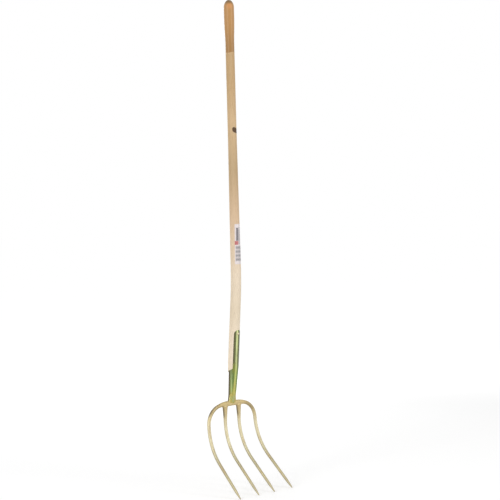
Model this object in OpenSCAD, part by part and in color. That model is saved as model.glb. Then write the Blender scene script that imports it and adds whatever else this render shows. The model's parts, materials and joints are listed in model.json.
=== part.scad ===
// Manure fork: a steel head with four curved tines on a long bent ash handle.
// Millimetres, +Z up. The front of the fork faces -Y, and its four points rest on z = 0.

/* [Handle] */
// Length along the handle's axis, from the domed top to the end inside the socket
handle_length = 1320; // [1220:5:1480]
// Diameter of the grip end
grip_d = 34.4; // [30:0.2:42]
// Height of the dome on the grip end
dome_h = 26; // [14:1:34]
// Length of the even stretch of the grip end
grip_length = 36; // [24:1:60]
// Length over which the grip end draws in to the waist
draw_in = 88; // [50:2:140]
// Diameter of the handle's waist
waist_d = 29.8; // [25:0.2:34]
// Length of the even waist
waist_length = 330; // [200:5:380]
// Diameter of the handle through its bend
bend_d = 35.2; // [31:0.2:42]
// Angle by which the bend sets the lower handle back
bend_angle = 5.3; // [2:0.1:9]
// Radius of the bend, at the handle's axis
bend_radius = 1100; // [500:50:1400]
// Height of the bend above the crossbar, along the lower handle
bend_height = 412; // [370:2:520]
// Diameter of the handle where the strap is let into it
shaft_d = 36; // [33:0.2:42]
// Height above the socket's mouth at which the wood starts to draw in
collar_rise = 24; // [16:1:60]
// Diameter to which the wood has drawn in at the bottom of the mouth
collar_d = 35.4; // [34:0.2:36]

/* [Socket] */
// Height of the socket's mouth above the crossbar, at the lower handle's axis
socket_height = 117; // [95:1:140]
// Slope of the mouth, which rises to the strap
mouth_slope = 30; // [5:1:36]
// Diameter of the tapered seat, where its cone meets the crossbar's level
seat_d = 20.8; // [18:0.2:22.4]
// Taper of the seat inside the socket, each side; above the mouth it is half as much
seat_taper = 1.5; // [0.6:0.1:1.6]
// Wall of the socket shell
shell_wall = 1.9; // [1.2:0.1:3]

/* [Strap] */
// Height of the strap's top above the crossbar, along the lower handle
strap_height = 256; // [210:1:300]
// Width of the strap at its round top
strap_top_w = 26.8; // [22:0.2:30]
// Width of the strap at the socket's mouth
strap_mouth_w = 28.4; // [24:0.2:31]
// Width of the strap at the foot
strap_low_w = 19.6; // [14:0.2:22]
// How far the strap's crown stands proud of the wood
strap_proud = 0.8; // [0.2:0.1:2]
// Distance from the socket's axis to the strap's crown, at the foot
strap_low_front = 13.6; // [13.4:0.1:16]
// Height above the mouth at which the crown has come up to its full distance from the axis
crown_lead = 11; // [2:1:30]
// Height of the solid foot above the crossbar
foot_height = 36; // [26:1:40]
// Length of the plug on the foot, which closes the bottom of the shell
plug_length = 8; // [4:1:14]
// Width of the foot along the crossbar
foot_w = 42; // [34:1:54]
// Thickness of the foot where it meets the crossbar
foot_d = 11.6; // [9:0.2:12.4]

/* [Head] */
// Distance between the outer tines, just below their shoulders
head_w = 216; // [190:2:260]
// Diameter of the crossbar
bar_d = 13.6; // [12.8:0.2:16]
// Height of the crossbar's thickened middle, on which the socket stands
middle_h = 18; // [16.4:0.2:22]
// Length of the thickened middle
middle_length = 56; // [44:2:70]
// Radius of the shoulders
shoulder_r = 62; // [44:1:66]
// Distance between the inner tines at the crossbar
inner_spacing = 62.4; // [56:0.4:76]
// Length of a tine, from the crossbar's axis to its point
tine_length = 345; // [300:5:400]
// Length of the straight top of a tine
root_straight = 51; // [30:1:80]
// Radius of the tines' curve
curve_r = 190; // [150:5:240]
// Angle through which the tines curve forward
curve_angle = 45.5; // [30:0.5:55]
// Width of a tine at its top
tine_top_d = 11.4; // [9:0.2:12.4]
// Width of a tine where its point begins
tine_low_d = 9; // [7:0.2:10]
// Depth of a tine over its width
tine_depth = 1.1; // [0.9:0.02:1.2]
// Length of the point
point_length = 34; // [20:1:50]
// Width of the blunted tip
tip_d = 2.4; // [1.4:0.2:3.6]
// Outward lean of the outer tines
outer_splay = 2.6; // [0:0.2:6]
// Outward lean of the inner tines
inner_splay = 0.9; // [0:0.1:3]
// Width of an inner tine's root along the crossbar
root_w = 20.5; // [15:0.5:26]
// Length over which the root narrows to the tine
root_length = 52; // [24:1:64]

/* [Fasteners] */
// Diameter of the strap rivet's shank
rivet_d = 5; // [4:0.5:7]
// Diameter of the rivet's head
rivet_head_d = 11; // [9:0.5:14]
// Height of the rivet's head above the strap's crown
rivet_head_h = 2.8; // [1.5:0.1:4]
// Distance of the rivet below the strap's top
rivet_drop = 13; // [11:0.5:20]
// Diameter of the burr under the rivet's tail
burr_d = 14; // [11:0.5:18]
// Thickness of the burr
burr_t = 1.4; // [0.8:0.1:2.4]
// Depth of the flat seat for the burr, at its edge
burr_seat = 0.4; // [0.2:0.1:1]
// Diameter of the rivet's peened tail
tail_d = 8; // [7:0.5:10]
// Height of the rivet's peened tail
tail_h = 2.2; // [1.2:0.1:3]
// Diameter of the socket nail's shank
nail_d = 3.4; // [2.6:0.2:5]
// Diameter of the nail's head
nail_head_d = 8.4; // [6.4:0.2:11]
// Height of the nail's head above the shell
nail_head_h = 1.8; // [1:0.1:3]
// Length of the nail's shank inside the shell
nail_length = 17; // [12:1:19]
// Length of the nail's point
nail_point = 4; // [2:0.5:6]
// Height of the nail above the crossbar
nail_height = 62; // [48:1:80]

/* [Label] */
// Width of the label, round the handle
label_w = 28; // [20:1:36]
// Height of the label
label_h = 135; // [90:1:150]
// Thickness of the label
label_t = 0.3; // [0.2:0.1:0.8]
// Corner radius of the label
label_corner = 3; // [1:0.5:8]
// Distance of the label above the start of the bend
label_rise = 15; // [2:1:30]

/* [Fits] */
// Clearance between the wood and the steel
seat_gap = 0.15; // [0.1:0.05:0.4]
// Clearance round a fastener in its hole
hole_gap = 0.15; // [0.1:0.05:0.4]
// Clearance at a welded seam or under a driven head
weld_gap = 0.05; // [0.02:0.01:0.15]
// Clearance between the label and the wood
glue_gap = 0.1; // [0.05:0.05:0.3]

/* [Hidden] */
$fn = 96;
wood_colour = [0.86, 0.76, 0.60];
green_colour = [0.42, 0.51, 0.24];
gold_colour = [0.80, 0.71, 0.50];
steel_colour = [0.62, 0.62, 0.60];
paper_colour = [0.93, 0.91, 0.91];
bar_sides = 24;
reach_past = 60;
overlap = 0.5;
// The lower handle narrows through the surface of the bend over this length, so that the two make one solid
bend_overlap = 10;
bend_blend = pow(bend_overlap, 2) / bend_radius;

// Radii
grip_r = grip_d / 2;
waist_r = waist_d / 2;
bend_r = bend_d / 2;
shaft_r = shaft_d / 2;
bar_r = bar_d / 2;
tip_r = tip_d / 2;
rivet_r = rivet_d / 2;
burr_r = burr_d / 2;
nail_r = nail_d / 2;

// Tine curve in side view: s runs down the tine from the crossbar's axis
curve_length = curve_r * curve_angle * PI / 180;
function slant_at(s) = min(max((s - root_straight) / curve_r * 180 / PI, 0), curve_angle);
function past_curve(s) = max(s - root_straight - curve_length, 0);
function reach_at(s) = curve_r * (1 - cos(slant_at(s))) + past_curve(s) * sin(curve_angle);
function drop_at(s) = min(s, root_straight) + curve_r * sin(slant_at(s)) + past_curve(s) * cos(curve_angle);
function ease(from, to, t) = from + (to - from) * t;

// Width of a tine along its length, with a drawn-out point
taper_end = tine_length - point_length;
point_draw = 0.6;
function tine_r(s, top) = s < taper_end
    ? ease(tine_top_d, tine_low_d, max(s - top, 0) / (taper_end - top)) / 2
    : tip_r + (tine_low_d / 2 - tip_r) * pow(max(tine_length - s, 0) / point_length, point_draw);

// Places in the fork's frame: the tips stand on z = 0, and the origin is under the middle of the fork
shell_r_at_foot = seat_r(foot_height) + shell_wall;
nail_back = (seat_r(nail_height) + shell_wall + nail_head_h) * cos(bend_angle) - nail_height * sin(bend_angle);
foot_back = shell_r_at_foot * cos(bend_angle) - foot_height * sin(bend_angle);
head_back = max(bar_r, foot_back, nail_back);
head_front = reach_at(tine_length) + tip_r * tine_depth * cos(curve_angle);
bar_y = (head_front - head_back) / 2;
bar_z = drop_at(tine_length) + tip_r * tine_depth * sin(curve_angle);

// Handle: an upper straight, the bend, and a lower straight on the socket's axis
bend_tangent = bend_radius * tan(bend_angle / 2);
handle_y = bar_y - bend_height * sin(bend_angle);
bend_start_z = bar_z + bend_height * cos(bend_angle) + bend_tangent;
bend_end = bend_height - bend_tangent;
tenon_end = foot_height + plug_length + seat_gap;
upper_length = handle_length - bend_radius * bend_angle * PI / 180 - (bend_end - tenon_end);
waist_end = dome_h + grip_length + draw_in + waist_length;
cone_length = upper_length - waist_end;
function seat_r(z) = seat_d / 2 + tan(seat_taper) * (min(z, socket_height) + max(z - socket_height, 0) / 2);
function cone_r(h) = ease(bend_r, waist_r, h / cone_length);

// Strap: its crown is round about the lower handle's axis
strap_half = strap_top_w / 2;
crown_r = shaft_r + strap_proud;
round_z = strap_height - strap_half;
rivet_z = strap_height - rivet_drop;
burr_y = sqrt(pow(shaft_r, 2) - pow(burr_r + hole_gap, 2)) - burr_seat;

// Puts a child from the socket's frame, whose Z is the lower handle's axis, into the fork's frame
module in_socket() translate([0, bar_y, bar_z]) rotate([bend_angle, 0, 0]) children();

// Puts a child with its axis on Z along the socket's Y, at a height above the crossbar
module along_y(z) translate([0, 0, z]) rotate([-90, 0, 0]) children();

// The tapered seat that the wood, the strap and the shell share, grown by a distance
module seat_cone(low, high, grow) rotate_extrude() polygon(concat(
    [[0, low], [seat_r(low) + grow, low]],
    low < socket_height && socket_height < high ? [[seat_r(socket_height) + grow, socket_height]] : [],
    [[seat_r(high) + grow, high], [0, high]]));

// Everything above or below the sloping mouth, raised by a distance
module mouth_side(above, raise) translate([0, 0, socket_height + raise]) rotate([-mouth_slope, 0, 0])
    translate([-reach_past, -reach_past, above ? 0 : -2 * reach_past]) cube(2 * reach_past);

// The strap's front outline, pushed forward from the axis and grown by a distance
module strap_prism(grow) rotate([90, 0, 0]) linear_extrude(reach_past) {
    low_half = strap_low_w / 2 + grow;
    mouth_half = strap_mouth_w / 2 + grow;
    top_half = strap_half + grow;
    polygon([[-low_half, foot_height - 1], [low_half, foot_height - 1], [mouth_half, socket_height],
        [top_half, round_z], [-top_half, round_z], [-mouth_half, socket_height]]);
    translate([0, round_z]) circle(top_half);
}

// The strap's crowned outside, full round
module strap_crown(grow) rotate_extrude()
    polygon([[0, foot_height - 1], [strap_low_front + grow, foot_height - 1],
        [crown_r + grow, socket_height + crown_lead], [crown_r + grow, strap_height + reach_past],
        [0, strap_height + reach_past]]);

// A domed head on z = 0, whose rim lies a distance below so that it can be cut to a round surface
module domed_head(d, h, below) {
    rise = h + below;
    ball_r = (pow(d / 2, 2) + pow(rise, 2)) / (2 * rise);
    intersection() {
        translate([0, 0, h - ball_r]) sphere(ball_r);
        translate([0, 0, -below]) cylinder(h = rise + overlap, d = d);
    }
}

// A tapered bar swept along stations [x, s, heading, half width, half depth] on the tines' curved sheet
function sheet_point(x, s) = [x, bar_y - reach_at(s), bar_z - drop_at(s)];
function sheet_down(s) = [0, -sin(slant_at(s)), -cos(slant_at(s))];
function sheet_front(s) = [0, -cos(slant_at(s)), sin(slant_at(s))];
function bar_ring(t) = [for (i = [0 : bar_sides - 1]) let (a = 360 * i / bar_sides)
    sheet_point(t[0], t[1])
    + t[3] * cos(a) * (cos(t[2]) * sheet_down(t[1]) - sin(t[2]) * [1, 0, 0])
    + t[4] * sin(a) * sheet_front(t[1])];
module swept_bar(stations) {
    last = len(stations) - 1;
    n = bar_sides;
    points = [for (t = stations) each bar_ring(t)];
    sides = [for (k = [0 : last - 1], i = [0 : n - 1]) let (j = (i + 1) % n)
        each [[k * n + i, k * n + j, (k + 1) * n + j], [k * n + i, (k + 1) * n + j, (k + 1) * n + i]]];
    start_cap = [for (i = [n - 1 : -1 : 0]) i];
    end_cap = [for (i = [0 : n - 1]) last * n + i];
    polyhedron(points, concat(sides, [start_cap, end_cap]));
}

// Stations down a tine from s = top: the curve, the long taper and the point
curve_steps = 14;
point_steps = [0, 0.3, 0.55, 0.75, 0.9, 1];
function tine_levels(top) = concat(
    [for (i = [0 : curve_steps]) let (s = root_straight + curve_length * i / curve_steps) if (s > top + 1) s],
    [for (p = point_steps) taper_end + point_length * p]);
function tine_station(x, s, splay, top) = [x + (s - top) * tan(splay), s, 90 - splay,
    tine_r(s, top), tine_r(s, top) * tine_depth];

// Right half of the bow: crossbar, shoulder and outer tine
shoulder_turn = 90 - outer_splay;
shoulder_x = head_w / 2 - shoulder_r * sin(shoulder_turn);
shoulder_s = shoulder_r * (1 - cos(shoulder_turn));
shoulder_steps = 12;
// Crossbar: its middle rises, and its underside stays straight
middle_rise = (middle_h - bar_d) / 2;
middle_steps = 5;
function middle_part(x) = (1 + cos(180 * max(x - middle_length / 2, 0) / (shoulder_x - middle_length / 2))) / 2;
function bar_station(x, grow) = let (rise = middle_rise * middle_part(abs(x)))
    [x, -rise, 0, bar_r + rise + grow, bar_r + grow];
bar_levels = concat([0], [for (i = [0 : middle_steps]) ease(middle_length / 2, shoulder_x, i / middle_steps)]);
bow_half = concat(
    [for (x = bar_levels) bar_station(x, 0)],
    [for (i = [1 : shoulder_steps]) let (u = i / shoulder_steps, turn = shoulder_turn * u,
        r = ease(bar_r, tine_top_d / 2, u))
        [shoulder_x + shoulder_r * sin(turn), shoulder_r * (1 - cos(turn)), turn, r, r * ease(1, tine_depth, u)]],
    [for (s = tine_levels(shoulder_s)) tine_station(head_w / 2, s, outer_splay, shoulder_s)]);
bow_left = [for (k = [len(bow_half) - 1 : -1 : 1]) let (t = bow_half[k]) [-t[0], t[1], -t[2], t[3], t[4]]];

// Inner tine on one side: its root is flared along the crossbar and cut to the bar's round
root_steps = 6;
root_end = bar_r + root_length;
root_top = 1;
root_draw = 1.2;
root_swell = 0.12;
function root_flare(s) = (root_w - tine_top_d) / 2
    * pow(max(root_end - max(s, bar_r), 0) / root_length, root_draw);
inner_stations = [for (s = concat([root_top], [for (i = [0 : root_steps]) bar_r + root_length * i / root_steps],
    tine_levels(root_end)))
    let (t = tine_station(inner_spacing / 2, s, inner_splay, 0), flare = root_flare(s))
    [t[0], t[1], t[2], t[3] + flare, t[4] + flare * root_swell]];
module inner_tine() difference() {
    swept_bar(inner_stations);
    crossbar_space();
}
module crossbar_space() swept_bar([for (x = concat([-head_w / 2],
    [for (k = [len(bar_levels) - 1 : -1 : 1]) -bar_levels[k]], bar_levels, [head_w / 2]))
    abs(x) < head_w / 2 ? bar_station(x, weld_gap) : [x, 0, 0, bar_r + weld_gap, bar_r + weld_gap]]);

// Turned profile of the upper handle, as [radius, distance below the top]
dome_steps = 14;
draw_steps = 8;
upper_profile = concat(
    [[0, 0]],
    [for (i = [1 : dome_steps]) let (a = 90 * i / dome_steps)
        [grip_r * sin(a), dome_h * (1 - cos(a) / cos(90 / dome_steps))]],
    [for (i = [0 : draw_steps]) let (u = i / draw_steps)
        [ease(grip_r, waist_r, (1 - cos(180 * u)) / 2), dome_h + grip_length + draw_in * u]],
    [[waist_r, waist_end], [bend_r, upper_length], [0, upper_length]]);

// Upper handle and bend, from the start of the bend
module upper_handle() translate([0, handle_y, bend_start_z]) {
    rotate_extrude() polygon([for (p = upper_profile) [p[0], upper_length - p[1]]]);
    translate([0, bend_radius, 0]) rotate([-90, 0, -90])
        rotate_extrude(angle = bend_angle + bend_overlap / bend_radius * 180 / PI)
            translate([bend_radius, 0]) circle(bend_r);
}

// Lower handle in the socket's frame: the wood above the mouth, cut for the strap, and the tapered tenon
module lower_handle() {
    collar_top = socket_height + collar_rise;
    collar_low = socket_height - collar_d / 2 * tan(mouth_slope) - overlap;
    difference() {
        rotate_extrude() polygon([[0, collar_low], [collar_d / 2, collar_low], [shaft_r, collar_top],
            [shaft_r, strap_height], [bend_r + bend_blend, bend_end - bend_overlap],
            [bend_r - bend_blend, bend_end + bend_overlap], [0, bend_end + bend_overlap]]);
        mouth_side(false, seat_gap);
        strap_prism(seat_gap);
    }
    seat_cone(tenon_end, strap_height + seat_gap, -seat_gap);
}

module handle() color(wood_colour) {
    difference() {
        union() {
            upper_handle();
            in_socket() lower_handle();
        }
        in_socket() {
            along_y(rivet_z) cylinder(h = 2 * reach_past, r = rivet_r + hole_gap, center = true);
            along_y(rivet_z) translate([0, 0, burr_y]) cylinder(h = reach_past, r = burr_r + hole_gap);
            along_y(nail_height) translate([0, 0, nail_end - nail_point - hole_gap])
                cylinder(h = reach_past, r = nail_r + hole_gap);
        }
    }
}

// Foot: spreads from the socket's round to the crossbar
module foot() {
    hull() {
        translate([0, 0, foot_height - 1 - weld_gap]) cylinder(h = 1, r = shell_r_at_foot, $fn = 48);
        intersection() {
            translate([0, 0, foot_height - 1 - weld_gap]) cylinder(h = 1, r = strap_low_front, $fn = 48);
            strap_prism(0);
        }
        for (x = [-1, 1]) translate([x * (foot_w - foot_d) / 2, 0, bar_r / 2]) sphere(d = foot_d, $fn = 32);
    }
    seat_cone(foot_height - 1, foot_height + plug_length, -weld_gap);
}

module front_strap() color(green_colour) difference() {
    in_socket() {
        difference() {
            intersection() {
                strap_prism(0);
                strap_crown(0);
            }
            seat_cone(foot_height + plug_length - overlap, strap_height + reach_past, 0);
            along_y(rivet_z) cylinder(h = 2 * reach_past, r = rivet_r + hole_gap, center = true);
        }
        foot();
    }
    crossbar_space();
}

module socket_shell() color(green_colour) in_socket() difference() {
    seat_cone(foot_height, socket_height + reach_past, shell_wall);
    seat_cone(foot_height - 1, socket_height + 2 * reach_past, 0);
    mouth_side(true, 0);
    strap_prism(weld_gap);
    along_y(nail_height) cylinder(h = reach_past, r = nail_r + hole_gap);
}

module fork_bow() color(gold_colour) swept_bar(concat(bow_left, bow_half));

module inner_tine_right() color(gold_colour) inner_tine();

module inner_tine_left() color(gold_colour) mirror([1, 0, 0]) inner_tine();

// Rivet: a head cut to the strap's crown, a shank through strap and wood, and a peened tail on the burr
module strap_rivet() color(steel_colour) in_socket() {
    head_dip = crown_r - sqrt(pow(crown_r, 2) - pow(rivet_head_d / 2, 2));
    difference() {
        along_y(rivet_z) mirror([0, 0, 1]) translate([0, 0, crown_r])
            domed_head(rivet_head_d, rivet_head_h, head_dip);
        strap_crown(weld_gap);
    }
    along_y(rivet_z) translate([0, 0, -crown_r - rivet_head_h / 2])
        cylinder(h = crown_r + rivet_head_h / 2 + burr_y + burr_t + tail_h / 2, r = rivet_r);
    along_y(rivet_z) translate([0, 0, burr_y + burr_t + weld_gap]) domed_head(tail_d, tail_h, 0);
}

module rivet_burr() color(steel_colour) in_socket() along_y(rivet_z) translate([0, 0, burr_y]) difference() {
    cylinder(h = burr_t, r = burr_r);
    translate([0, 0, -1]) cylinder(h = burr_t + 2, r = rivet_r + hole_gap);
}

// Nail: a head cut to the shell's round, and a pointed shank into the wood
nail_front = seat_r(nail_height) + shell_wall;
nail_end = nail_front - nail_length;
module socket_nail() color(steel_colour) in_socket() {
    head_dip = nail_front - sqrt(pow(nail_front, 2) - pow(nail_head_d / 2, 2));
    difference() {
        along_y(nail_height) translate([0, 0, nail_front]) domed_head(nail_head_d, nail_head_h, head_dip);
        seat_cone(foot_height, socket_height, shell_wall + weld_gap);
    }
    along_y(nail_height) translate([0, 0, nail_end]) cylinder(h = nail_length + nail_head_h / 2, r = nail_r);
    along_y(nail_height) translate([0, 0, nail_end - nail_point]) cylinder(h = nail_point, r1 = 0, r2 = nail_r);
}

// Label: a thin paper skin on the front of the handle's swell
module handle_label() color(paper_colour) translate([0, handle_y, bend_start_z + label_rise]) {
    middle_r = cone_r(label_rise + label_h / 2);
    half_w = middle_r * sin(label_w / 2 / middle_r * 180 / PI);
    low_r = cone_r(label_rise) + glue_gap;
    high_r = cone_r(label_rise + label_h) + glue_gap;
    intersection() {
        linear_extrude(label_h, scale = high_r / low_r) difference() {
            circle(low_r + label_t);
            circle(low_r);
        }
        rotate([90, 0, 0]) linear_extrude(reach_past) {
            translate([-half_w, label_corner]) square([2 * half_w, label_h - 2 * label_corner]);
            translate([label_corner - half_w, 0]) square([2 * (half_w - label_corner), label_h]);
            for (x = [-1, 1], y = [label_corner, label_h - label_corner])
                translate([x * (half_w - label_corner), y]) circle(label_corner);
        }
    }
}

handle();
front_strap();
socket_shell();
fork_bow();
inner_tine_left();
inner_tine_right();
strap_rivet();
rivet_burr();
socket_nail();
handle_label();
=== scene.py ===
"""Dresses the manure fork: a bent ash handle, a green strapped socket and gold lacquered tines."""
import json
import math

import bpy
from mathutils import Matrix, Vector


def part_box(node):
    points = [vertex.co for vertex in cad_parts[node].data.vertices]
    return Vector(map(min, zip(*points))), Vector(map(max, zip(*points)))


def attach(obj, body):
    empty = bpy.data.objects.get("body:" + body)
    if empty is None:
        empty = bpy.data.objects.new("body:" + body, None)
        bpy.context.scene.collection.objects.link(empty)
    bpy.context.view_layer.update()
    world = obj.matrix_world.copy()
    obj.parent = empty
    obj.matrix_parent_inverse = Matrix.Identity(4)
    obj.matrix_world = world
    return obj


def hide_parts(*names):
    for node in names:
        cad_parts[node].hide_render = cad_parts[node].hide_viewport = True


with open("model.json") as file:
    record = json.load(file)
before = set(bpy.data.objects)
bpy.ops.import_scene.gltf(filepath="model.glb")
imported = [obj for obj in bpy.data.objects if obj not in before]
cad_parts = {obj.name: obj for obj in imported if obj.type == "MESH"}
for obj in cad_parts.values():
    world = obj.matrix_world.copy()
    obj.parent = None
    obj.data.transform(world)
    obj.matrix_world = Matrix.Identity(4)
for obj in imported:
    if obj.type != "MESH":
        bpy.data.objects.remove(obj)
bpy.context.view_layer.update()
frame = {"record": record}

MM = 0.001

# Places taken from the frame: the handle's axis, the crossbar and the top of the grip
mounts = {mount["name"]: mount for mount in frame["record"]["mounts"]}
handle_y = mounts["handle_end"]["pos_m"][1]
grip_r = mounts["handle_end"]["dims"]["r_mm"] * MM
grip_length = mounts["handle_end"]["dims"]["length_mm"] * MM
bar_y = mounts["crossbar_hang"]["pos_m"][1]
bar_r = 6.8 * MM
bar_z = mounts["crossbar_hang"]["pos_m"][2] + bar_r
handle_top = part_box("handle")[1].z

# Handle
dome_height = 26 * MM
draw_in = 88 * MM
waist_r = 14.9 * MM
waist_length = 330 * MM
bend_r = 17.6 * MM
bend_radius = 1100 * MM
bend_angle = math.radians(5.3)
shaft_r = 18 * MM
collar_r = 17.7 * MM
collar_rise = 24 * MM
turned_low = 100 * MM
handle_sides = 72
knot_height = 1213.4 * MM
dipped_length = 176 * MM

# Socket and strap, in the socket's frame: its Z is the lower handle's axis and starts at the crossbar
socket_height = 117 * MM
mouth_slope = math.radians(30)
mouth_gap = 0.1 * MM
seat_r = 10.4 * MM
seat_taper = math.radians(1.5)
shell_wall = 1.9 * MM
rolled_height = 150 * MM
strap_height = 256 * MM
strap_half = 13.4 * MM
strap_mouth_half = 14.2 * MM
strap_low_half = 9.8 * MM
strap_low_z = 35 * MM
strap_back = 9 * MM
slot_half = strap_low_half - 2 * MM
crown_r = 18.8 * MM
crown_low_r = 13.6 * MM
crown_lead = 11 * MM
foot_height = 36 * MM
foot_half = 21 * MM
foot_deep = 5.8 * MM
foot_sink = 1 * MM
plug_length = 8 * MM
seat_gap = 0.15 * MM

# Head
head_half = 108 * MM
middle_half = 24 * MM
middle_fade = 66 * MM
middle_rise = 2.2 * MM
shoulder_r = 62 * MM
inner_half = 31.2 * MM
tine_length = 345 * MM
root_straight = 51 * MM
curve_r = 190 * MM
curve_angle = math.radians(45.5)
tine_top_r = 5.7 * MM
tine_low_r = 4.5 * MM
tine_depth = 1.1
tine_sides = 32
point_length = 34 * MM
tip_r = 1.2 * MM
outer_splay = math.radians(2.6)
inner_splay = math.radians(0.9)
root_half = 10.25 * MM
root_length = 52 * MM
root_swell = 0.12
weld_leg = 1.5 * MM

# Fasteners and label
rivet_r = 2.5 * MM
rivet_head_r = 5.5 * MM
rivet_head_height = 2.8 * MM
rivet_z = 243 * MM
burr_r = 7 * MM
burr_thickness = 1.4 * MM
burr_y = 16.12 * MM
tail_r = 4 * MM
tail_height = 2.2 * MM
nail_r = 1.7 * MM
nail_z = 62 * MM
nail_length = 17 * MM
nail_point = 4 * MM
nail_head_r = 4.2 * MM
nail_head_height = 1.8 * MM
label_low, label_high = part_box("handle_label")
label_thickness = 0.3 * MM
label_corner = 3 * MM
label_lean = 2.8 * MM
label_shift = 0.8 * MM

# Derived places
bend_height = (bar_y - handle_y) / math.sin(bend_angle)
bend_tangent = bend_radius * math.tan(bend_angle / 2)
bend_end = bend_height - bend_tangent
bend_arc = bend_radius * bend_angle
bend_start_z = bar_z + bend_height * math.cos(bend_angle) + bend_tangent
axis_end = bend_end + bend_arc + handle_top - bend_start_z
mouth_up = Vector((0, math.sin(mouth_slope), math.cos(mouth_slope)))
socket_frame = Matrix.Translation((0, bar_y, bar_z)) @ Matrix.Rotation(bend_angle, 4, "X")


def shell_r(z):
    """Outside radius of the socket's shell at a height above the crossbar."""
    above = max(z - socket_height, 0)
    return seat_r + (min(z, socket_height) + above / 2) * math.tan(seat_taper) + shell_wall


def pick(piece):
    """Makes a piece the only selected object, and the active one."""
    bpy.ops.object.select_all(action="DESELECT")
    piece.select_set(True)
    bpy.context.view_layer.objects.active = piece


def apply_modifier(piece, kind, **settings):
    """Adds a modifier to a piece and applies it."""
    pick(piece)
    modifier = piece.modifiers.new(kind, kind)
    for key, value in settings.items():
        setattr(modifier, key, value)
    bpy.ops.object.modifier_apply(modifier=modifier.name)


def draw_out(name, sides, stations, closed_tip=False):
    """A solid drawn out along Z through stations [z, half width, half depth, y of the middle]."""
    z, wide, deep, y = stations[0]
    bpy.ops.object.select_all(action="DESELECT")
    bpy.ops.mesh.primitive_circle_add(vertices=sides, radius=wide, fill_type="NGON")
    piece = bpy.context.active_object
    piece.name = name
    piece.data.name = name
    bpy.ops.object.mode_set(mode="EDIT")
    bpy.ops.transform.resize(value=(1, deep / wide, 1), center_override=(0, 0, 0))
    bpy.ops.transform.translate(value=(0, y, z))
    for next_z, next_wide, next_deep, next_y in stations[1:]:
        step = (0, next_y - y, next_z - z)
        bpy.ops.mesh.extrude_region_move(TRANSFORM_OT_translate={"value": step})
        grow = (next_wide / wide, next_deep / deep, 1)
        bpy.ops.transform.resize(value=grow, center_override=(0, next_y, next_z))
        z, wide, deep, y = next_z, next_wide, next_deep, next_y
    if closed_tip:
        bpy.ops.mesh.merge(type="CENTER")
    bpy.ops.mesh.select_all(action="SELECT")
    bpy.ops.mesh.normals_make_consistent(inside=False)
    bpy.ops.object.mode_set(mode="OBJECT")
    return piece


def round_stations(profile, step=None):
    """Stations for a turned solid from [z, radius] points, with more between them where a step is given."""
    stations = []
    for (z, r), (next_z, next_r) in zip(profile, profile[1:]):
        count = max(1, math.ceil((next_z - z) / step)) if step else 1
        for i in range(count):
            part = i / count
            stations.append((z + (next_z - z) * part, r + (next_r - r) * part))
    stations.append(profile[-1])
    return [(z, r, r, 0) for z, r in stations]


def dome_profile(base, radius, height, below, steps):
    """Points of a domed head whose rim lies below its base."""
    rise = height + below
    ball_r = (radius ** 2 + rise ** 2) / (2 * rise)
    lean = math.asin(min(radius / ball_r, 1))
    if rise > radius:
        lean = math.pi - lean
    profile = []
    for i in range(steps):
        turn = lean * (1 - i / steps)
        profile.append((base + height - ball_r * (1 - math.cos(turn)), ball_r * math.sin(turn)))
    return profile


def cut_flat(piece, place, outward, closed=True):
    """Cuts away what lies beyond a plane and closes the cut, unless the piece is an open sheet."""
    pick(piece)
    bpy.ops.object.mode_set(mode="EDIT")
    bpy.ops.mesh.select_all(action="SELECT")
    bpy.ops.mesh.bisect(plane_co=place, plane_no=outward, use_fill=closed, clear_outer=True)
    bpy.ops.object.mode_set(mode="OBJECT")


def soften(piece, width, segments, least_degrees):
    """Bevels the edges that turn by more than an angle."""
    limit = {"limit_method": "ANGLE", "angle_limit": math.radians(least_degrees)}
    apply_modifier(piece, "BEVEL", width=width, segments=segments, **limit)


def combine(piece, other, operation):
    """Joins another object to a piece (UNION) or cuts it out (DIFFERENCE), and removes that object."""
    apply_modifier(piece, "BOOLEAN", object=other, operation=operation, solver="EXACT")
    bpy.data.objects.remove(other)


def select_where(piece, kind, chosen):
    """Selects the points (VERT) or faces (FACE) for which a test holds, and stays in edit mode."""
    pick(piece)
    bpy.ops.object.mode_set(mode="EDIT")
    bpy.ops.mesh.select_mode(type=kind)
    bpy.ops.mesh.select_all(action="DESELECT")
    bpy.ops.object.mode_set(mode="OBJECT")
    parts = piece.data.polygons if kind == "FACE" else piece.data.vertices
    for part in parts:
        part.select = chosen(part)
    bpy.ops.object.mode_set(mode="EDIT")


def delete_faces(piece, chosen):
    """Deletes the faces for which a test holds."""
    select_where(piece, "FACE", chosen)
    bpy.ops.mesh.delete(type="FACE")
    bpy.ops.object.mode_set(mode="OBJECT")


def drop_idle_points(piece, most_turn):
    """Dissolves points in which only two edges meet and turn by less than an angle, which cuts can leave."""
    ways = [[] for vertex in piece.data.vertices]
    for edge in piece.data.edges:
        start, end = (piece.data.vertices[index] for index in edge.vertices)
        way = (end.co - start.co).normalized()
        ways[start.index].append(way)
        ways[end.index].append(-way)

    def idle(vertex):
        leaving = ways[vertex.index]
        return len(leaving) == 2 and (leaving[0] + leaving[1]).length < most_turn

    select_where(piece, "VERT", idle)
    bpy.ops.mesh.dissolve_verts()
    bpy.ops.object.mode_set(mode="OBJECT")


def bend_along(piece, points):
    """Bends a straight piece along a path that its Z follows; the straight places stay as an attribute."""
    straight = piece.data.attributes.new("straight", "FLOAT_VECTOR", "POINT")
    for vertex in piece.data.vertices:
        straight.data[vertex.index].vector = vertex.co
    bpy.ops.object.select_all(action="DESELECT")
    bpy.ops.curve.primitive_nurbs_path_add()
    path = bpy.context.active_object
    path.data.splines.clear()
    spline = path.data.splines.new("POLY")
    spline.points.add(len(points) - 1)
    for spot, point in zip(spline.points, points):
        spot.co = (*point, 1)
    apply_modifier(piece, "CURVE", object=path, deform_axis="POS_Z")
    bpy.data.objects.remove(path)


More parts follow.
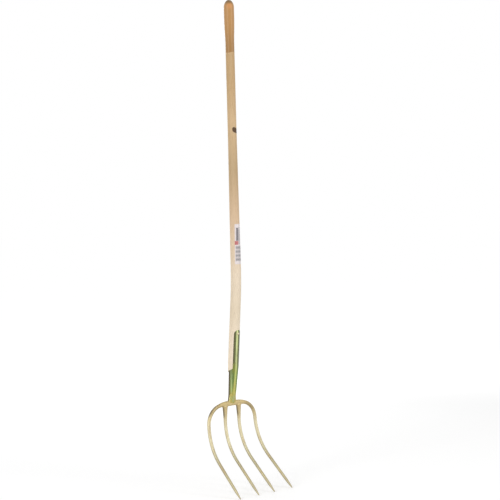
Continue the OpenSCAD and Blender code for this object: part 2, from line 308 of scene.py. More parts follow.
def sweep(name, sides, spine):
    """A bar along a spine of [point, half width, half depth], drawn straight and then bent.

    The spine starts upwards, which keeps the bar's width along X there.
    """
    stations = []
    length = 0
    before = spine[0][0]
    for point, wide, deep in spine:
        length += (point - before).length
        before = point
        stations.append((length, wide, deep, 0))
    piece = draw_out(name, sides, stations)
    bend_along(piece, [point for point, wide, deep in spine])
    return piece


def settle(piece, place, node, material, edge_angle=35):
    """Puts a finished piece in its place in the fork, and lets it stand for a node of the frame."""
    pick(piece)
    piece.matrix_world = place
    bpy.ops.object.transform_apply(location=True, rotation=True, scale=True)
    bpy.ops.object.shade_smooth_by_angle(angle=math.radians(edge_angle))
    piece.data.materials.clear()
    piece.data.materials.append(material)
    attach(piece, "root")
    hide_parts(node)


def linear(red, green, blue):
    """A colour as it looks on a screen, from 0 to 255, as the linear values of a shader."""
    parts = [value / 255 for value in (red, green, blue)]
    return (*(part / 12.92 if part < 0.04 else ((part + 0.055) / 1.055) ** 2.4 for part in parts), 1)


class Value:
    """A socket of a node tree, on which the usual operators add Math nodes."""

    def __init__(self, graph, socket):
        self.graph = graph
        self.socket = socket

    def math(self, operation, *others, turned=False):
        """Adds a Math node on this value and others, in turned order where the operator needs it."""
        values = (self, *others)[::-1] if turned else (self, *others)
        return self.graph.node("ShaderNodeMath", {"operation": operation}, dict(enumerate(values)))

    def __add__(self, other):
        return self.math("ADD", other)

    def __radd__(self, other):
        return self.math("ADD", other)

    def __sub__(self, other):
        return self.math("SUBTRACT", other)

    def __rsub__(self, other):
        return self.math("SUBTRACT", other, turned=True)

    def __mul__(self, other):
        return self.math("MULTIPLY", other)

    def __truediv__(self, other):
        return self.math("DIVIDE", other)

    def __pow__(self, other):
        return self.math("POWER", other)

    def __abs__(self):
        return self.math("ABSOLUTE")

    def fraction(self):
        return self.math("FRACT")

    def most(self, other):
        return self.math("MAXIMUM", other)

    def rise(self, low, high):
        """Runs smoothly from 0 to 1 as the value goes from low to high."""
        sockets = {"Value": self, "From Min": low, "From Max": high}
        return self.graph.node("ShaderNodeMapRange", {"interpolation_type": "SMOOTHSTEP"}, sockets)


class Graph:
    """A node tree that is written as expressions."""

    def __init__(self, tree):
        self.tree = tree
        tree.nodes.clear()

    def node(self, kind, settings=None, sockets=None, output=0):
        """Adds a node, sets it up, fills its sockets with values or links, and gives one of its outputs."""
        made = self.tree.nodes.new(kind)
        for key, value in (settings or {}).items():
            setattr(made, key, value)
        for key, value in (sockets or {}).items():
            if isinstance(value, Value):
                self.tree.links.new(value.socket, made.inputs[key])
            else:
                made.inputs[key].default_value = value
        return Value(self, made.outputs[output] if len(made.outputs) else None)

    def place(self):
        """The place of the surface in the fork, in metres."""
        return self.node("ShaderNodeTexCoord", output=3)

    def attribute(self, name):
        """A vector that the mesh holds under a name."""
        return self.node("ShaderNodeAttribute", {"attribute_name": name}, output=1)

    def parts(self, vector):
        """The three parts of a vector."""
        split = self.node("ShaderNodeSeparateXYZ", sockets={0: vector})
        return [Value(self, socket) for socket in split.socket.node.outputs]

    def noise(self, vector, stretch, detail=2):
        """Noise between 0 and 1, with its scale along each axis."""
        scaled = self.node("ShaderNodeVectorMath", {"operation": "MULTIPLY"}, {0: vector, 1: stretch})
        return self.node("ShaderNodeTexNoise", sockets={"Vector": scaled, "Scale": 1, "Detail": detail})

    def facing(self, direction):
        """How far the surface faces a direction, from -1 to 1."""
        normal = self.node("ShaderNodeNewGeometry", output=1)
        sockets = {0: normal, 1: Vector(direction).normalized()}
        return self.node("ShaderNodeVectorMath", {"operation": "DOT_PRODUCT"}, sockets, output=1)

    def mix(self, factor, first, second):
        """A colour between two, the second one where the factor is 1."""
        settings = {"data_type": "RGBA"}
        return self.node("ShaderNodeMix", settings, {0: factor, 6: first, 7: second}, output=2)

    def ramp(self, value, stops):
        """A colour for a value between 0 and 1, from [position, colour] stops."""
        ramp = self.node("ShaderNodeValToRGB", sockets={0: value})
        elements = ramp.socket.node.color_ramp.elements
        while len(elements) < len(stops):
            elements.new(1)
        for element, (position, colour) in zip(elements, stops):
            element.position = position
            element.color = colour
        return ramp

    def bump(self, height, distance):
        """A normal for a relief, whose height from 0 to 1 stands for a distance."""
        return self.node("ShaderNodeBump", sockets={"Height": height, "Distance": distance, "Strength": 1})

    def shown(self):
        """1 for a ray that shows the surface to the eye, straight on, in a gloss or through glass."""
        light = self.node("ShaderNodeLightPath")
        rays = {socket.name: Value(self, socket) for socket in light.socket.node.outputs}
        return rays["Is Camera Ray"].most(rays["Is Glossy Ray"]).most(rays["Is Transmission Ray"])

    def surface(self, **sockets):
        """Ends the tree with a Principled surface; its sockets go by lower-case names with underscores."""
        named = {}
        for key, value in sockets.items():
            words = [word.upper() if word == "ior" else word.capitalize() for word in key.split("_")]
            named[" ".join(words)] = value
        shader = self.node("ShaderNodeBsdfPrincipled", sockets=named)
        self.node("ShaderNodeOutputMaterial", sockets={"Surface": shader})


def new_material(name):
    """A new material and the graph of its nodes."""
    material = bpy.data.materials.new(name)
    material.use_nodes = True
    return material, Graph(material.node_tree)


def ash_wood():
    """Pale ash with ring-porous grain, a small knot, and a grip end dipped in varnish."""
    material, wood = new_material("ash_wood")
    place = wood.attribute("straight")
    x, y, z = wood.parts(place)

    # Growth rings round a heart beside the handle, which lies a little askew to it
    wave = wood.noise(place, (14, 14, 3.4)) + wood.noise(place, (70, 70, 5)) * 0.5 - 0.75
    across = x + 46 * MM + z * 0.012
    along = y - 38 * MM - z * 0.007
    ring = ((across * across + along * along) ** 0.5 / (2.6 * MM) + wave * 2.2).fraction()
    early = (1 - ring.rise(0.1, 0.6)) * ring.rise(0, 0.06)
    pores = wood.noise(place, (1500, 1500, 75), 1).rise(0.58, 0.72) * early
    fibre = wood.noise(place, (520, 520, 7), 3)
    cloud = wood.noise(place, (26, 26, 3.2))

    # Knot on the front of the waist
    knot_z = knot_height - bend_start_z + bend_end + bend_arc
    knot_x = abs(x - 0.6 * MM + (z - knot_z) * 0.1) / (10.8 * MM)
    knot_up = abs(z - knot_z + x * 0.24 + (cloud - 0.5) * 6 * MM) / (9.6 * MM)
    spread = knot_x ** 3 + knot_up ** 3 + (wood.noise(place, (420, 420, 160)) - 0.5) * 0.5
    knot = (1 - spread.rise(0.6, 1.1)) * (0 - y).rise(0, 3 * MM)
    turn = (spread.most(0) ** 0.4 * 3.6 + cloud * 2).fraction()
    swirl = turn.rise(0, 0.3) * (1 - turn.rise(0.5, 0.9))
    heartwood = wood.mix(swirl * (1 - spread.rise(0.4, 0.8)) * 0.6, linear(62, 41, 25), linear(108, 78, 50))

    # Bare wood, from the socket up to the grip
    height = z / axis_end
    stops = [(0.16, linear(247, 231, 207)), (0.23, linear(233, 217, 191)), (0.32, linear(237, 220, 196)),
             (0.46, linear(221, 192, 159)), (0.58, linear(189, 162, 123)), (0.70, linear(211, 181, 139)),
             (0.80, linear(196, 164, 119))]
    bare = wood.ramp(height, stops)
    bare = wood.mix(early * cloud * 0.62 + (cloud - 0.5) * 0.3, bare, linear(186, 146, 100))
    bare = wood.mix((fibre - 0.42) * 0.5, bare, linear(240, 226, 200))
    bare = wood.mix(pores * 0.36, bare, linear(128, 92, 60))
    bare = wood.mix(knot * 0.96, bare, heartwood)

    # Varnish on the grip end, thicker towards the edge that it ran down to
    edge = axis_end - dipped_length + (wood.noise(place, (40, 40, 6), 3) - 0.5) * 10 * MM + x * 0.12
    dipped = (z - edge).rise(0, 1.6 * MM)
    run = 1 - (z - edge).rise(0, 110 * MM)
    tint = wood.mix(run, linear(189, 141, 82), linear(166, 124, 69))
    tint = wood.mix(early * 0.25 + pores * 0.35 + (cloud - 0.5) * 0.3, tint, linear(146, 100, 54))
    # Painted highlight: a lighter orange patch on the front just under the dome. Painted shade: a darker,
    # deeper brown on the front where the varnish ran.
    front = (0 - x * 0.6 - y * 0.8).rise(12 * MM, 17 * MM)
    glow = (1 - abs(z - axis_end + 19 * MM).rise(0, 21 * MM)) * front
    tint = wood.mix(glow * 0.6, tint, linear(220, 148, 86))
    tint = wood.mix(front * run * 0.3, tint, linear(160, 112, 56))
    crown = z.rise(axis_end - 18 * MM, axis_end - 6 * MM)
    tint = wood.mix(crown * 0.8, tint, linear(108, 84, 50))
    colour = wood.mix(dipped, bare, tint)

    grain = fibre * 0.5 - pores * 0.8 - early * 0.25 - knot * (0.6 - swirl * 0.4)
    wood.surface(
        base_color=colour,
        roughness=0.62 - dipped * 0.18 + (fibre - 0.5) * 0.16,
        coat_weight=dipped * 0.35,
        coat_roughness=0.36,
        specular_ior_level=0.35,
        normal=wood.bump(grain * (1 - dipped * 0.6), 0.25 * MM))
    return material


def gold_lacquer():
    """Clear gold lacquer over forged steel: darker round the crossbar, where much of it is painted shade,
    with a painted highlight on the crossbar's middle, and worn thin at the points.
    """
    material, gold = new_material("gold_lacquer")
    place = gold.place()
    x, _, z = gold.parts(place)
    cloud = gold.noise(place, (24, 24, 24), 3)
    stretch = gold.noise(place, (46, 46, 17))
    forged = gold.noise(place, (230, 230, 120), 3)
    planished = gold.noise(place, (95, 95, 60))
    speck = gold.noise(place, (900, 900, 900), 1)

    # From the points up to the crossbar; the tone along the height is partly the lacquer's own and partly
    # painted shade, darker low on the tines
    height = (z + (cloud - 0.5) * 24 * MM) / (300 * MM)
    stops = [(0.03, linear(186, 174, 138)), (0.18, linear(187, 176, 134)), (0.30, linear(172, 162, 127)),
             (0.42, linear(186, 177, 141)), (0.55, linear(210, 201, 165)), (0.72, linear(219, 208, 172)),
             (0.83, linear(206, 189, 144)), (0.92, linear(194, 172, 121)), (1, linear(202, 179, 123))]
    colour = gold.ramp(height, stops)
    colour = gold.mix(stretch.rise(0.48, 0.7) * 0.45, colour, linear(176, 152, 110))
    # Painted shade: faces turned away from the front go dark brown
    lit_side = gold.facing((-0.2, -0.9, 0.1)).rise(-0.8, 0.3)
    colour = gold.mix((1 - lit_side) * 0.6, colour, linear(120, 100, 64))

    # Painted highlight on the crossbar's middle, and painted shade over the shoulders, along the upper side
    # and on the left side of the inner tines' roots
    middle = (1 - abs(x).rise(34 * MM, 60 * MM)) * z.rise(278 * MM, 284 * MM)
    colour = gold.mix(middle * 0.2, colour, linear(232, 212, 154))
    shaded_shoulder = abs(x).rise(52 * MM, 78 * MM) * z.rise(248 * MM, 266 * MM)
    colour = gold.mix(shaded_shoulder * 0.5, colour, linear(148, 132, 94))
    shaded_upper_side = z.rise(246 * MM, 264 * MM) * gold.facing((-0.5, 0.5, 0.7)).rise(0.35, 0.85)
    shaded_upper_side = shaded_upper_side * (1 - x.rise(-10 * MM, 25 * MM) * 0.55)
    # Painted shade on the left side of the inner tines' roots
    inner = (1 - abs(x).rise(44 * MM, 52 * MM)) * z.rise(236 * MM, 256 * MM)
    inner = inner * (1 - z.rise(276 * MM, 284 * MM)) * gold.facing((-0.9, 0.3, 0.1)).rise(0.1, 0.8)
    colour = gold.mix(shaded_upper_side.most(inner * 0.8) * 0.9, colour, linear(88, 76, 50))

    # Worn thin towards the points, and chipped
    worn = (1 - z.rise(0, 75 * MM)) * cloud.rise(0.3, 0.6)
    colour = gold.mix(worn * 0.6, colour, linear(182, 173, 146))
    chip = speck.rise(0.7, 0.76) * stretch.rise(0.42, 0.6)
    colour = gold.mix(chip * 0.7, colour, linear(104, 88, 66))

    gold.surface(
        base_color=colour,
        metallic=0.4,
        roughness=0.42 + (forged - 0.5) * 0.3 + worn * 0.1,
        coat_weight=0.25 - worn * 0.2,
        coat_roughness=0.2,
        normal=gold.bump(planished * 2 + forged * 0.8 + speck * 0.2, 0.3 * MM))
    return material


def green_paint():
    """Green enamel on the strap and the socket, with gold lacquer run down over the foot."""
    material, green = new_material("green_paint")
    place = green.place()
    x, y, z = green.parts(place)
    up = z - bar_z
    out = y - bar_y + up * math.tan(bend_angle)
    cloud = green.noise(place, (60, 60, 40), 3)
    mist = green.noise(place, (420, 420, 420))
    run = green.noise(place, (240, 240, 26))

    # Nearly olive on the strap above the mouth, greener below it, and yellow towards the foot
    below = 1 - up.rise(104 * MM, 150 * MM)
    low = 1 - up.rise(40 * MM, 84 * MM)
    colour = green.mix(below, linear(104, 108, 62), linear(118, 140, 66))
    colour = green.mix(low * 0.8, colour, linear(158, 164, 74))
    colour = green.mix((run - 0.35) * 0.5, colour, linear(78, 84, 40))

    # Painted highlights along the crown and on the shell's sides, and painted shade in the crease beside the
    # strap and on the strap's flanks above the mouth
    crown = 1 - (abs(x + 3.7 * MM) + (run - 0.5) * 2 * MM).rise(1.8 * MM, 4.4 * MM)
    crown_highlight = green.mix(below, linear(222, 230, 160), linear(198, 207, 116))
    crown_highlight = green.mix(1 - up.rise(64 * MM, 96 * MM), crown_highlight, linear(198, 192, 102))
    dimmed_highlight = (1 - abs(up - 160 * MM).rise(8 * MM, 36 * MM)) * 0.24
    colour = green.mix(crown * (0.9 - dimmed_highlight + (cloud - 0.5) * 0.4), colour, crown_highlight)
    widening = (strap_mouth_half - strap_low_half) / (socket_height - strap_low_z)
    gap = abs(x) - strap_low_half - (up - strap_low_z) * widening
    # Painted highlight: a pale streak along each side of the shell, beside the strap
    side = 1 - (abs(gap - 1.6 * MM + up * 0.016) + (run - 0.5) * 0.4 * MM).rise(0.5 * MM, 1 * MM)
    side = side * below * (1 - out.rise(-4 * MM, -2 * MM))
    colour = green.mix(side * 0.9, colour, linear(184, 203, 136))
    # Painted shade: a dark line in the crease along the strap's edge
    crease_shade = (1 - abs(gap + 1.4 * MM).rise(0.9 * MM, 2 * MM)) * below * up.rise(45 * MM, 95 * MM)
    colour = green.mix(crease_shade * 0.7, colour, linear(72, 92, 26))
    # Painted shade on the strap's flanks above the mouth
    shaded_flank = abs(x).rise(9.5 * MM, 12.5 * MM) * (1 - below) * (0.5 + cloud)
    colour = green.mix(shaded_flank * 0.6, colour, linear(80, 70, 40))

    # Gold over the foot, with the green showing through in places, and a breath of it beside the mouth
    breath = (1 - abs(up - 124 * MM).rise(8 * MM, 24 * MM)) * (1 - x.rise(-7 * MM, -3 * MM))
    breath = breath * (1 - out.rise(-10 * MM, -8 * MM))
    colour = green.mix(breath * 0.5, colour, linear(138, 142, 46))
    gilt = 1 - (up + (cloud - 0.5) * 22 * MM).rise(26 * MM, 48 * MM)
    through = green.noise(place, (90, 90, 50)).rise(0.5, 0.6) * 0.6
    colour = green.mix(gilt * (1 - through) * (0.9 + (mist - 0.5) * 0.5), colour, linear(190, 170, 86))
    foot = 1 - up.rise(20 * MM, 36 * MM)
    # Painted highlight: bright yellow streaks along the foot's sides
    foot_highlight = (1 - abs(abs(x) - 16 * MM).rise(1.5 * MM, 4 * MM)) * foot
    colour = green.mix(foot_highlight * 0.6, colour, linear(226, 214, 146))
    spared = (1 - abs(x + 2 * MM).rise(3 * MM, 7 * MM)) * foot * up.rise(5 * MM, 10 * MM)
    colour = green.mix(spared * 0.5, colour, linear(156, 182, 132))

    # Dark brown over the back of the shell
    bare = out.rise(-4 * MM, -1 * MM) * (0.95 + (mist - 0.5) * 0.6)
    colour = green.mix(bare, colour, linear(84, 70, 46))
    depth = socket_height - out * (math.tan(mouth_slope) - math.sin(bend_angle)) - up / math.cos(bend_angle)
    # Painted highlight: a pale band along the mouth's edge
    rim = (1 - depth.rise(0.8 * MM, 2.4 * MM)) * out.rise(-8 * MM, -7 * MM)
    colour = green.mix(rim * 0.6, colour, linear(186, 200, 158))
    chip = green.noise(place, (330, 330, 150)).rise(0.68, 0.72)
    colour = green.mix(chip * 0.8, colour, linear(96, 88, 66))

    green.surface(
        base_color=colour,
        metallic=0.15,
        roughness=0.34 + (mist - 0.5) * 0.2 + chip * 0.2,
        specular_ior_level=0.35,
        coat_weight=0.25 - chip * 0.2,
        coat_roughness=0.12,
        normal=green.bump(mist * 0.4 + run * 0.6 - chip * 0.5, 0.15 * MM))
    return material


def bare_steel():
    """Rivets and nails: bright where hammered, with dark scale and a little rust."""
    material, steel = new_material("bare_steel")
    place = steel.place()
    scale = steel.noise(place, (520, 520, 520), 3)
    rust = steel.noise(place, (260, 260, 260)).rise(0.56, 0.7)
    colour = steel.mix(scale.rise(0.4, 0.65), linear(218, 209, 172), linear(160, 149, 118))
    colour = steel.mix(rust * 0.55, colour, linear(132, 88, 54))
    steel.surface(
        base_color=colour,
        metallic=0.85,
        roughness=0.34 + scale * 0.2 + rust * 0.25,
        normal=steel.bump(scale, 0.2 * MM))
    return material


def paper_label():
    """Plain white label: a dark bar, a red block, a grey column and rows of rules, with no lettering."""
    material, paper = new_material("paper_label")
    place = paper.place()
    x, _, z = paper.parts(place)
    up = (z - label_low.z) / (label_high.z - label_low.z)
    x = x + label_shift - (up - 0.5) * label_lean
    fibre = paper.noise(place, (900, 900, 900))
    stain = paper.noise(place, (60, 60, 30))
    colour = paper.mix(stain.rise(0.35, 0.75) * 0.6, linear(230, 220, 219), linear(212, 201, 200))

    def block(low, high, middle, half):
        """A printed block between two heights, over a stretch across the label."""
        across = 1 - abs(x - middle * MM).rise((half - 0.3) * MM, half * MM)
        return up.rise(low, low + 0.006) * (1 - up.rise(high - 0.006, high)) * across

    colour = paper.mix(block(0.58, 0.91, -4.4, 4) * 0.9, colour, linear(90, 86, 94))
    colour = paper.mix(block(0.48, 0.58, -6.6, 6) * 0.85, colour, linear(184, 74, 76))
    row = (up * 10 - 0.65).fraction()
    rule = row.rise(0.2, 0.3) * (1 - row.rise(0.7, 0.8)) * 0.4 + 0.3
    colour = paper.mix(block(0.065, 0.465, 1, 11.4) * rule, colour, linear(108, 108, 112))
    colour = paper.mix(block(0.49, 0.93, 4, 4) * 0.55, colour, linear(150, 146, 148))

    paper.surface(
        base_color=colour,
        roughness=0.5 + (fibre - 0.5) * 0.3,
        coat_weight=0.2,
        normal=paper.bump(fibre, 0.08 * MM))
    return material


def handle_profile():
    """Radii up the straight handle, from below the mouth to the top of the dome."""
    waist_top = axis_end - dome_height - grip_length - draw_in
    profile = [(turned_low, collar_r), (socket_height + collar_rise, shaft_r), (strap_height, shaft_r),
               (bend_end, bend_r), (bend_end + bend_arc, bend_r), (waist_top - waist_length, waist_r)]
    swell_steps = 12
    for i in range(swell_steps + 1):
        part = i / swell_steps
        swell = (1 - math.cos(math.pi * part)) / 2
        profile.append((waist_top + draw_in * part, waist_r + (grip_r - waist_r) * swell))
    dome_steps = 17
    for i in range(dome_steps + 1):
        turn = math.radians(88) * i / dome_steps
        profile.append((axis_end - dome_height + dome_height * math.sin(turn), grip_r * math.cos(turn)))
    return profile


def handle_axis():
    """Points along the bent handle's axis: leaning up from the crossbar, round the bend, then upright."""
    base = Vector((0, bar_y, bar_z))
    lower_way = Vector((0, -math.sin(bend_angle), math.cos(bend_angle)))
    lower_steps = 60
    points = [base + lower_way * bend_end * i / lower_steps for i in range(lower_steps)]
    middle = Vector((0, handle_y + bend_radius, bend_start_z))
    bend_steps = 24
    for i in range(bend_steps + 1):
        turn = bend_angle * (1 - i / bend_steps)
        points.append(middle - bend_radius * Vector((0, math.cos(turn), math.sin(turn))))
    upper = handle_top - bend_start_z
    upper_steps = 100
    for i in range(upper_steps):
        points.append(Vector((0, handle_y, bend_start_z + upper * (i + 1) / upper_steps)))
    return points


def make_handle(strap, material):
    """The handle is turned straight with its tenon, cut for the mouth and the strap, and then bent."""
    stations = round_stations(handle_profile(), 14 * MM)
    handle = draw_out("ash_handle", handle_sides, stations, closed_tip=True)
    cut_flat(handle, mouth_up * mouth_gap + Vector((0, 0, socket_height)), -mouth_up)
    ends = (foot_height + plug_length + seat_gap, socket_height + collar_rise)
    tenon_profile = [(z, shell_r(z) - shell_wall - seat_gap) for z in ends]
    tenon = draw_out("tenon", handle_sides, round_stations(tenon_profile))
    combine(handle, tenon, "UNION")

    # The strap's recess is a copy of the strap, grown by the gap and cut out
    pick(strap)
    bpy.ops.object.duplicate()
    cutter = bpy.context.active_object
    apply_modifier(cutter, "DISPLACE", strength=seat_gap, mid_level=0)
    combine(handle, cutter, "DIFFERENCE")
    drop_idle_points(handle, math.radians(9))
    bend_along(handle, handle_axis())
    settle(handle, Matrix.Identity(4), "handle", material)


def make_strap():
    """The strap is drawn out round past its top and filed to its outline; it stays in the socket's frame."""
    profile = [(strap_low_z, crown_low_r), (socket_height + crown_lead, crown_r),
               (strap_height + 4 * MM, crown_r)]
    strap = draw_out("green_strap", 144, round_stations(profile, 8 * MM))
    round_z = strap_height - strap_half
    low_lean = math.atan2(strap_mouth_half - strap_low_half, socket_height - strap_low_z)
    high_lean = math.atan2(strap_half - strap_mouth_half, round_z - socket_height)
    for side in (-1, 1):
        for lean in (low_lean, high_lean):
            outward = Vector((side * math.cos(lean), 0, -math.sin(lean)))
            cut_flat(strap, (side * strap_mouth_half, 0, socket_height), outward)
    top_facets = 16
    for i in range(top_facets + 1):
        turn = math.pi * i / top_facets
        outward = Vector((math.cos(turn), 0, math.sin(turn)))
        cut_flat(strap, outward * strap_half + Vector((0, 0, round_z)), outward)
    cut_flat(strap, (0, -strap_back, 0), (0, 1, 0))
    soften(strap, 0.7 * MM, 3, 32)
    return strap


def make_foot():
    """The foot spreads from the socket's round to the crossbar."""
    stations = []
    top_r = shell_r(foot_height)
    middle_y = (top_r - crown_low_r) / 2
    top_deep = (top_r + crown_low_r) / 2
    steps = 12
    for i in range(steps + 1):
        part = i / steps
        z = -foot_sink + (foot_height + foot_sink) * part
        wide = top_r + (foot_half - top_r) * (1 - part) ** 1.3
        deep = top_deep + (foot_deep - top_deep) * (1 - part) ** 1.1
        stations.append((z, wide, deep, middle_y * part))
    return draw_out("green_foot", handle_sides, stations)


def make_shell(material):
    """The shell is rolled round the tapered seat, with a sloping mouth and a slot for the strap."""
    profile = [(foot_height, shell_r(foot_height)), (rolled_height, shell_r(rolled_height))]
    shell = draw_out("green_shell", 96, round_stations(profile, 9 * MM))
    cut_flat(shell, (0, 0, socket_height), mouth_up)

    def cap_or_slot(face):
        """The end caps, which have many corners, and the faces behind the strap."""
        in_slot = face.center.y < 0 and abs(face.center.x) < slot_half
        return in_slot or len(face.vertices) > 20

    delete_faces(shell, cap_or_slot)
    apply_modifier(shell, "SOLIDIFY", thickness=shell_wall, offset=-1)
    soften(shell, 0.4 * MM, 2, 50)
    settle(shell, socket_frame, "socket_shell", material)


def slant(s):
    """How far the tines' sheet leans forward at a distance down it from the crossbar."""
    return min(max((s - root_straight) / curve_r, 0), curve_angle)


def sheet_point(x, s):
    """A point on the curved sheet on which the tines lie, at a distance down it from the crossbar."""
    past = max(s - root_straight - curve_r * curve_angle, 0)
    reach = curve_r * (1 - math.cos(slant(s))) + past * math.sin(curve_angle)
    drop = min(s, root_straight) + curve_r * math.sin(slant(s)) + past * math.cos(curve_angle)
    return Vector((x, bar_y - reach, bar_z - drop))


def tine_r(s, top):
    """Radius of a tine at a distance down the sheet, which tapers from its top and more at its point."""
    taper_end = tine_length - point_length
    if s < taper_end:
        return tine_top_r + (tine_low_r - tine_top_r) * max(s - top, 0) / (taper_end - top)
    return tip_r + (tine_low_r - tip_r) * ((tine_length - s) / point_length) ** 0.6


def tine_levels(top):
    """Distances down a tine, closer together at its point."""
    taper_end = tine_length - point_length
    taper_steps = 44
    levels = [top + (taper_end - top) * i / taper_steps for i in range(taper_steps)]
    point_steps = 16
    for i in range(point_steps + 1):
        levels.append(tine_length - point_length * (1 - i / point_steps) ** 1.3)
    return levels


def bar_swell(path):
    """How far the crossbar's middle is raised and thickened, at a distance along the bow."""
    fall = min(max(path - middle_half, 0) / (middle_fade - middle_half), 1)
    return middle_rise * (1 + math.cos(math.pi * fall)) / 2


def make_bow(material):
    """The bow: crossbar, shoulders and outer tines in one bar."""
    turn_end = math.pi / 2 - outer_splay
    shoulder_x = head_half - shoulder_r * math.sin(turn_end)
    shoulder_s = shoulder_r * (1 - math.cos(turn_end))
    half = []
    bar_steps = 14
    for i in range(bar_steps + 1):
        x = shoulder_x * i / bar_steps
        rise = bar_swell(x)
        half.append((sheet_point(x, -rise), bar_r + rise, bar_r))
    shoulder_steps = 24
    for i in range(1, shoulder_steps + 1):
        part = i / shoulder_steps
        turn = turn_end * part
        rise = bar_swell(shoulder_x + shoulder_r * turn)
        r = bar_r + (tine_top_r - bar_r) * part
        reach = shoulder_x + (shoulder_r + rise) * math.sin(turn)
        point = sheet_point(reach, shoulder_r - (shoulder_r + rise) * math.cos(turn))
        half.append((point, r + rise, r * (1 + (tine_depth - 1) * part)))
    for s in tine_levels(shoulder_s)[1:]:
        r = tine_r(s, shoulder_s)
        x = head_half + (s - shoulder_s) * math.tan(outer_splay)
        half.append((sheet_point(x, s), r, r * tine_depth))
    mirrored = [(Vector((-point.x, point.y, point.z)), wide, deep) for point, wide, deep in half[:0:-1]]
    bow = sweep("gold_bow", tine_sides, mirrored + half)
    settle(bow, Matrix.Identity(4), "fork_bow", material, 60)


def make_inner_tine(end, side, material):
    """An inner tine, whose root is spread along the crossbar and welded to it."""
    spine = []
    root_end = bar_r + root_length
    root_steps = 28
    root_levels = [root_end * (i / root_steps) ** 1.4 for i in range(root_steps)]
    for s in root_levels + tine_levels(root_end):
        flare = (root_half - tine_top_r) * (max(root_end - max(s, bar_r), 0) / root_length) ** 1.2
        weld = weld_leg * max(1 - max(s - bar_r, 0) / (weld_leg * 3), 0) ** 2
        r = tine_r(s, 0)
        x = side * (inner_half + s * math.tan(inner_splay))
        swell = (flare * root_swell + weld * 0.3) * min(s / bar_r, 1)
        spine.append((sheet_point(x, s), r + flare + weld, r * tine_depth + swell))
    tine = sweep("gold_tine_" + end, tine_sides, spine[::-1])
    settle(tine, Matrix.Identity(4), "inner_tine_" + end, material, 60)


def through_socket(z, side):
    """The place of a fastener at a height of the socket, with its Z to the front (1) or to the back (-1)."""
    return socket_frame @ Matrix.Translation((0, 0, z)) @ Matrix.Rotation(side * math.pi / 2, 4, "X")


def make_rivet(material):
    """Strap rivet: a domed head on the strap, a shank, and a peened tail on the burr."""
    dip = crown_r - math.sqrt(crown_r ** 2 - rivet_head_r ** 2)
    tail = dome_profile(burr_y + burr_thickness, tail_r, tail_height, 0, 7)
    profile = [(-z, r) for z, r in tail[::-1]]
    profile += [(-burr_y - burr_thickness, rivet_r), (crown_r - dip, rivet_r)]
    profile += dome_profile(crown_r, rivet_head_r, rivet_head_height, dip, 9)
    rivet = draw_out("steel_rivet", 40, round_stations(profile), closed_tip=True)
    settle(rivet, through_socket(rivet_z, 1), "strap_rivet", material)


def make_burr(material):
    """Burr under the rivet's tail: a thin round plate with a softened edge."""
    soft = 0.3 * MM
    profile = [(burr_y, burr_r - soft), (burr_y + soft, burr_r), (burr_y + burr_thickness - soft, burr_r),
               (burr_y + burr_thickness, burr_r - soft)]
    burr = draw_out("steel_burr", 48, round_stations(profile))
    settle(burr, through_socket(rivet_z, -1), "rivet_burr", material)


def make_nail(material):
    """Socket nail: a pointed shank and a domed head on the back of the shell."""
    outside = shell_r(nail_z)
    dip = outside - math.sqrt(outside ** 2 - nail_head_r ** 2)
    shank_end = outside - nail_length
    profile = [(shank_end - nail_point, 0.2 * MM), (shank_end, nail_r), (outside - dip, nail_r)]
    profile += dome_profile(outside, nail_head_r, nail_head_height, dip, 8)
    nail = draw_out("steel_nail", 36, round_stations(profile), closed_tip=True)
    settle(nail, through_socket(nail_z, -1), "socket_nail", material)


def make_label(material):
    """A paper label round the front of the handle's swell."""
    height = label_high.z - label_low.z
    low_r = handle_y - label_low.y
    swell_length = handle_top - bend_start_z - dome_height - grip_length - draw_in - waist_length
    high_r = low_r - (bend_r - waist_r) * height / swell_length
    bpy.ops.object.select_all(action="DESELECT")
    bpy.ops.mesh.primitive_cone_add(vertices=160, radius1=low_r, radius2=high_r, depth=height,
                                    end_fill_type="NOTHING")
    label = bpy.context.active_object
    label.name = "printed_label"
    for side in (-1, 1):
        cut_flat(label, (side * label_high.x, 0, 0), (side, 0, 0), closed=False)
    cut_flat(label, (0, 0, 0), (0, 1, 0), closed=False)

    def at_corner(vertex):
        at_side = abs(vertex.co.x) > label_high.x - 0.01 * MM
        return at_side and abs(vertex.co.z) > height / 2 - 0.01 * MM

    select_where(label, "VERT", at_corner)
    bpy.ops.mesh.bevel(offset=label_corner, segments=6, affect="VERTICES")
    bpy.ops.object.mode_set(mode="OBJECT")
    apply_modifier(label, "SOLIDIFY", thickness=label_thickness, offset=-1)

    # It was stuck on by hand, a little askew
    apply_modifier(label, "SIMPLE_DEFORM", deform_method="TWIST", deform_axis="Z", angle=label_lean / low_r)
    middle = Matrix.Translation((0, handle_y, label_low.z + height / 2))
    place = middle @ Matrix.Rotation(-label_shift / low_r, 4, "Z")
    settle(label, place, "handle_label", material)


def make_sky():
    """White surround, which shows as pure white and lights the fork less."""
    world = bpy.data.worlds.new("studio")
    bpy.context.scene.world = world
    world.use_nodes = True
    sky = Graph(world.node_tree)
    strength = 0.6 + sky.shown() * 0.4
    light = sky.node("ShaderNodeBackground", sockets={"Color": (1, 1, 1, 1), "Strength": strength})
    sky.node("ShaderNodeOutputWorld", sockets={"Surface": light})


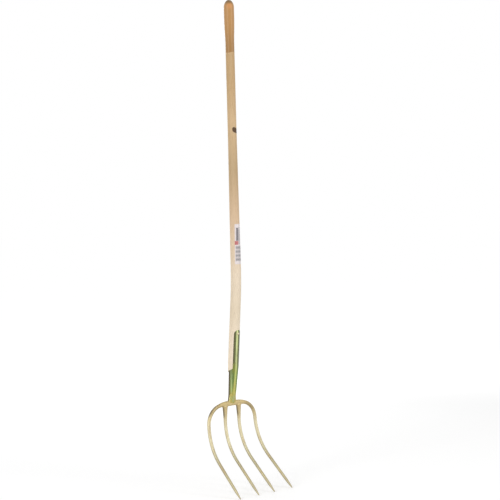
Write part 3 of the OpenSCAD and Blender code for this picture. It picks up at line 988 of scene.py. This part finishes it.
def make_floor():
    """White floor that keeps the fork's shadow."""
    bpy.ops.object.select_all(action="DESELECT")
    bpy.ops.mesh.primitive_plane_add(size=60, location=(0, 0, -0.5 * MM))
    floor = bpy.context.active_object
    floor.name = "floor"
    material, ground = new_material("floor")
    matt = ground.node("ShaderNodeBsdfDiffuse", sockets={"Color": (0.8, 0.8, 0.8, 1)})

    # Just white round the fork, so that its shadow stays, and brighter out of the lamps' reach
    x, y, _ = ground.parts(ground.place())
    away = ((x * x + y * y) ** 0.5).rise(2, 3.6)
    glow = ground.node("ShaderNodeEmission", sockets={"Strength": ground.shown() * (0.29 + away * 0.23)})
    lit = ground.node("ShaderNodeAddShader", sockets={0: matt, 1: glow})
    ground.node("ShaderNodeOutputMaterial", sockets={"Surface": lit})
    floor.data.materials.append(material)


def make_lamps():
    """Soft lamps, each at an angle round the fork and a height, with its power."""
    lamps = [("key_lamp", 14, 1.7, 34), ("fill_lamp", -84, 1.5, 36), ("back_lamp", 150, 1.8, 30)]
    lamp_distance = 3.2
    aim = Vector((0, 0, 0.8))
    for name, degrees, height, power in lamps:
        turn = math.radians(degrees)
        place = Vector((math.sin(turn) * lamp_distance, -math.cos(turn) * lamp_distance, height))
        bpy.ops.object.light_add(type="AREA", location=place)
        lamp = bpy.context.active_object
        lamp.name = name
        lamp.data.shape = "RECTANGLE"
        lamp.data.size = 0.9
        lamp.data.size_y = 2.6
        lamp.data.energy = power
        lamp.rotation_euler = (place - aim).to_track_quat("Z", "Y").to_euler()


def make_camera():
    """The photograph's camera, as fitted to the handle and the head."""
    bpy.ops.object.camera_add()
    camera = bpy.context.active_object
    azimuth = math.radians(-43.6)
    pan = math.radians(0.59)
    tilt = math.radians(-1.993)
    roll = math.radians(-1.514)
    distance = 4793 * MM
    rise = 689 * MM
    place = Vector((math.sin(azimuth) * distance, handle_y - math.cos(azimuth) * distance, bar_z + rise))
    turn = (Matrix.Rotation(azimuth - pan, 4, "Z") @ Matrix.Rotation(math.pi / 2 + tilt, 4, "X")
            @ Matrix.Rotation(roll, 4, "Z"))
    camera.matrix_world = Matrix.Translation(place) @ turn
    camera.data.lens = 102.44
    camera.data.sensor_width = 36
    bpy.context.scene.camera = camera


wood = ash_wood()
gold = gold_lacquer()
green = green_paint()
steel = bare_steel()
paper = paper_label()

strap = make_strap()
make_handle(strap, wood)
combine(strap, make_foot(), "UNION")
settle(strap, socket_frame, "front_strap", green, 28)
make_shell(green)
make_bow(gold)
make_inner_tine("left", -1, gold)
make_inner_tine("right", 1, gold)
make_rivet(steel)
make_burr(steel)
make_nail(steel)
make_label(paper)
make_sky()
make_floor()
make_lamps()
make_camera()
bpy.context.scene.view_settings.view_transform = "Standard"
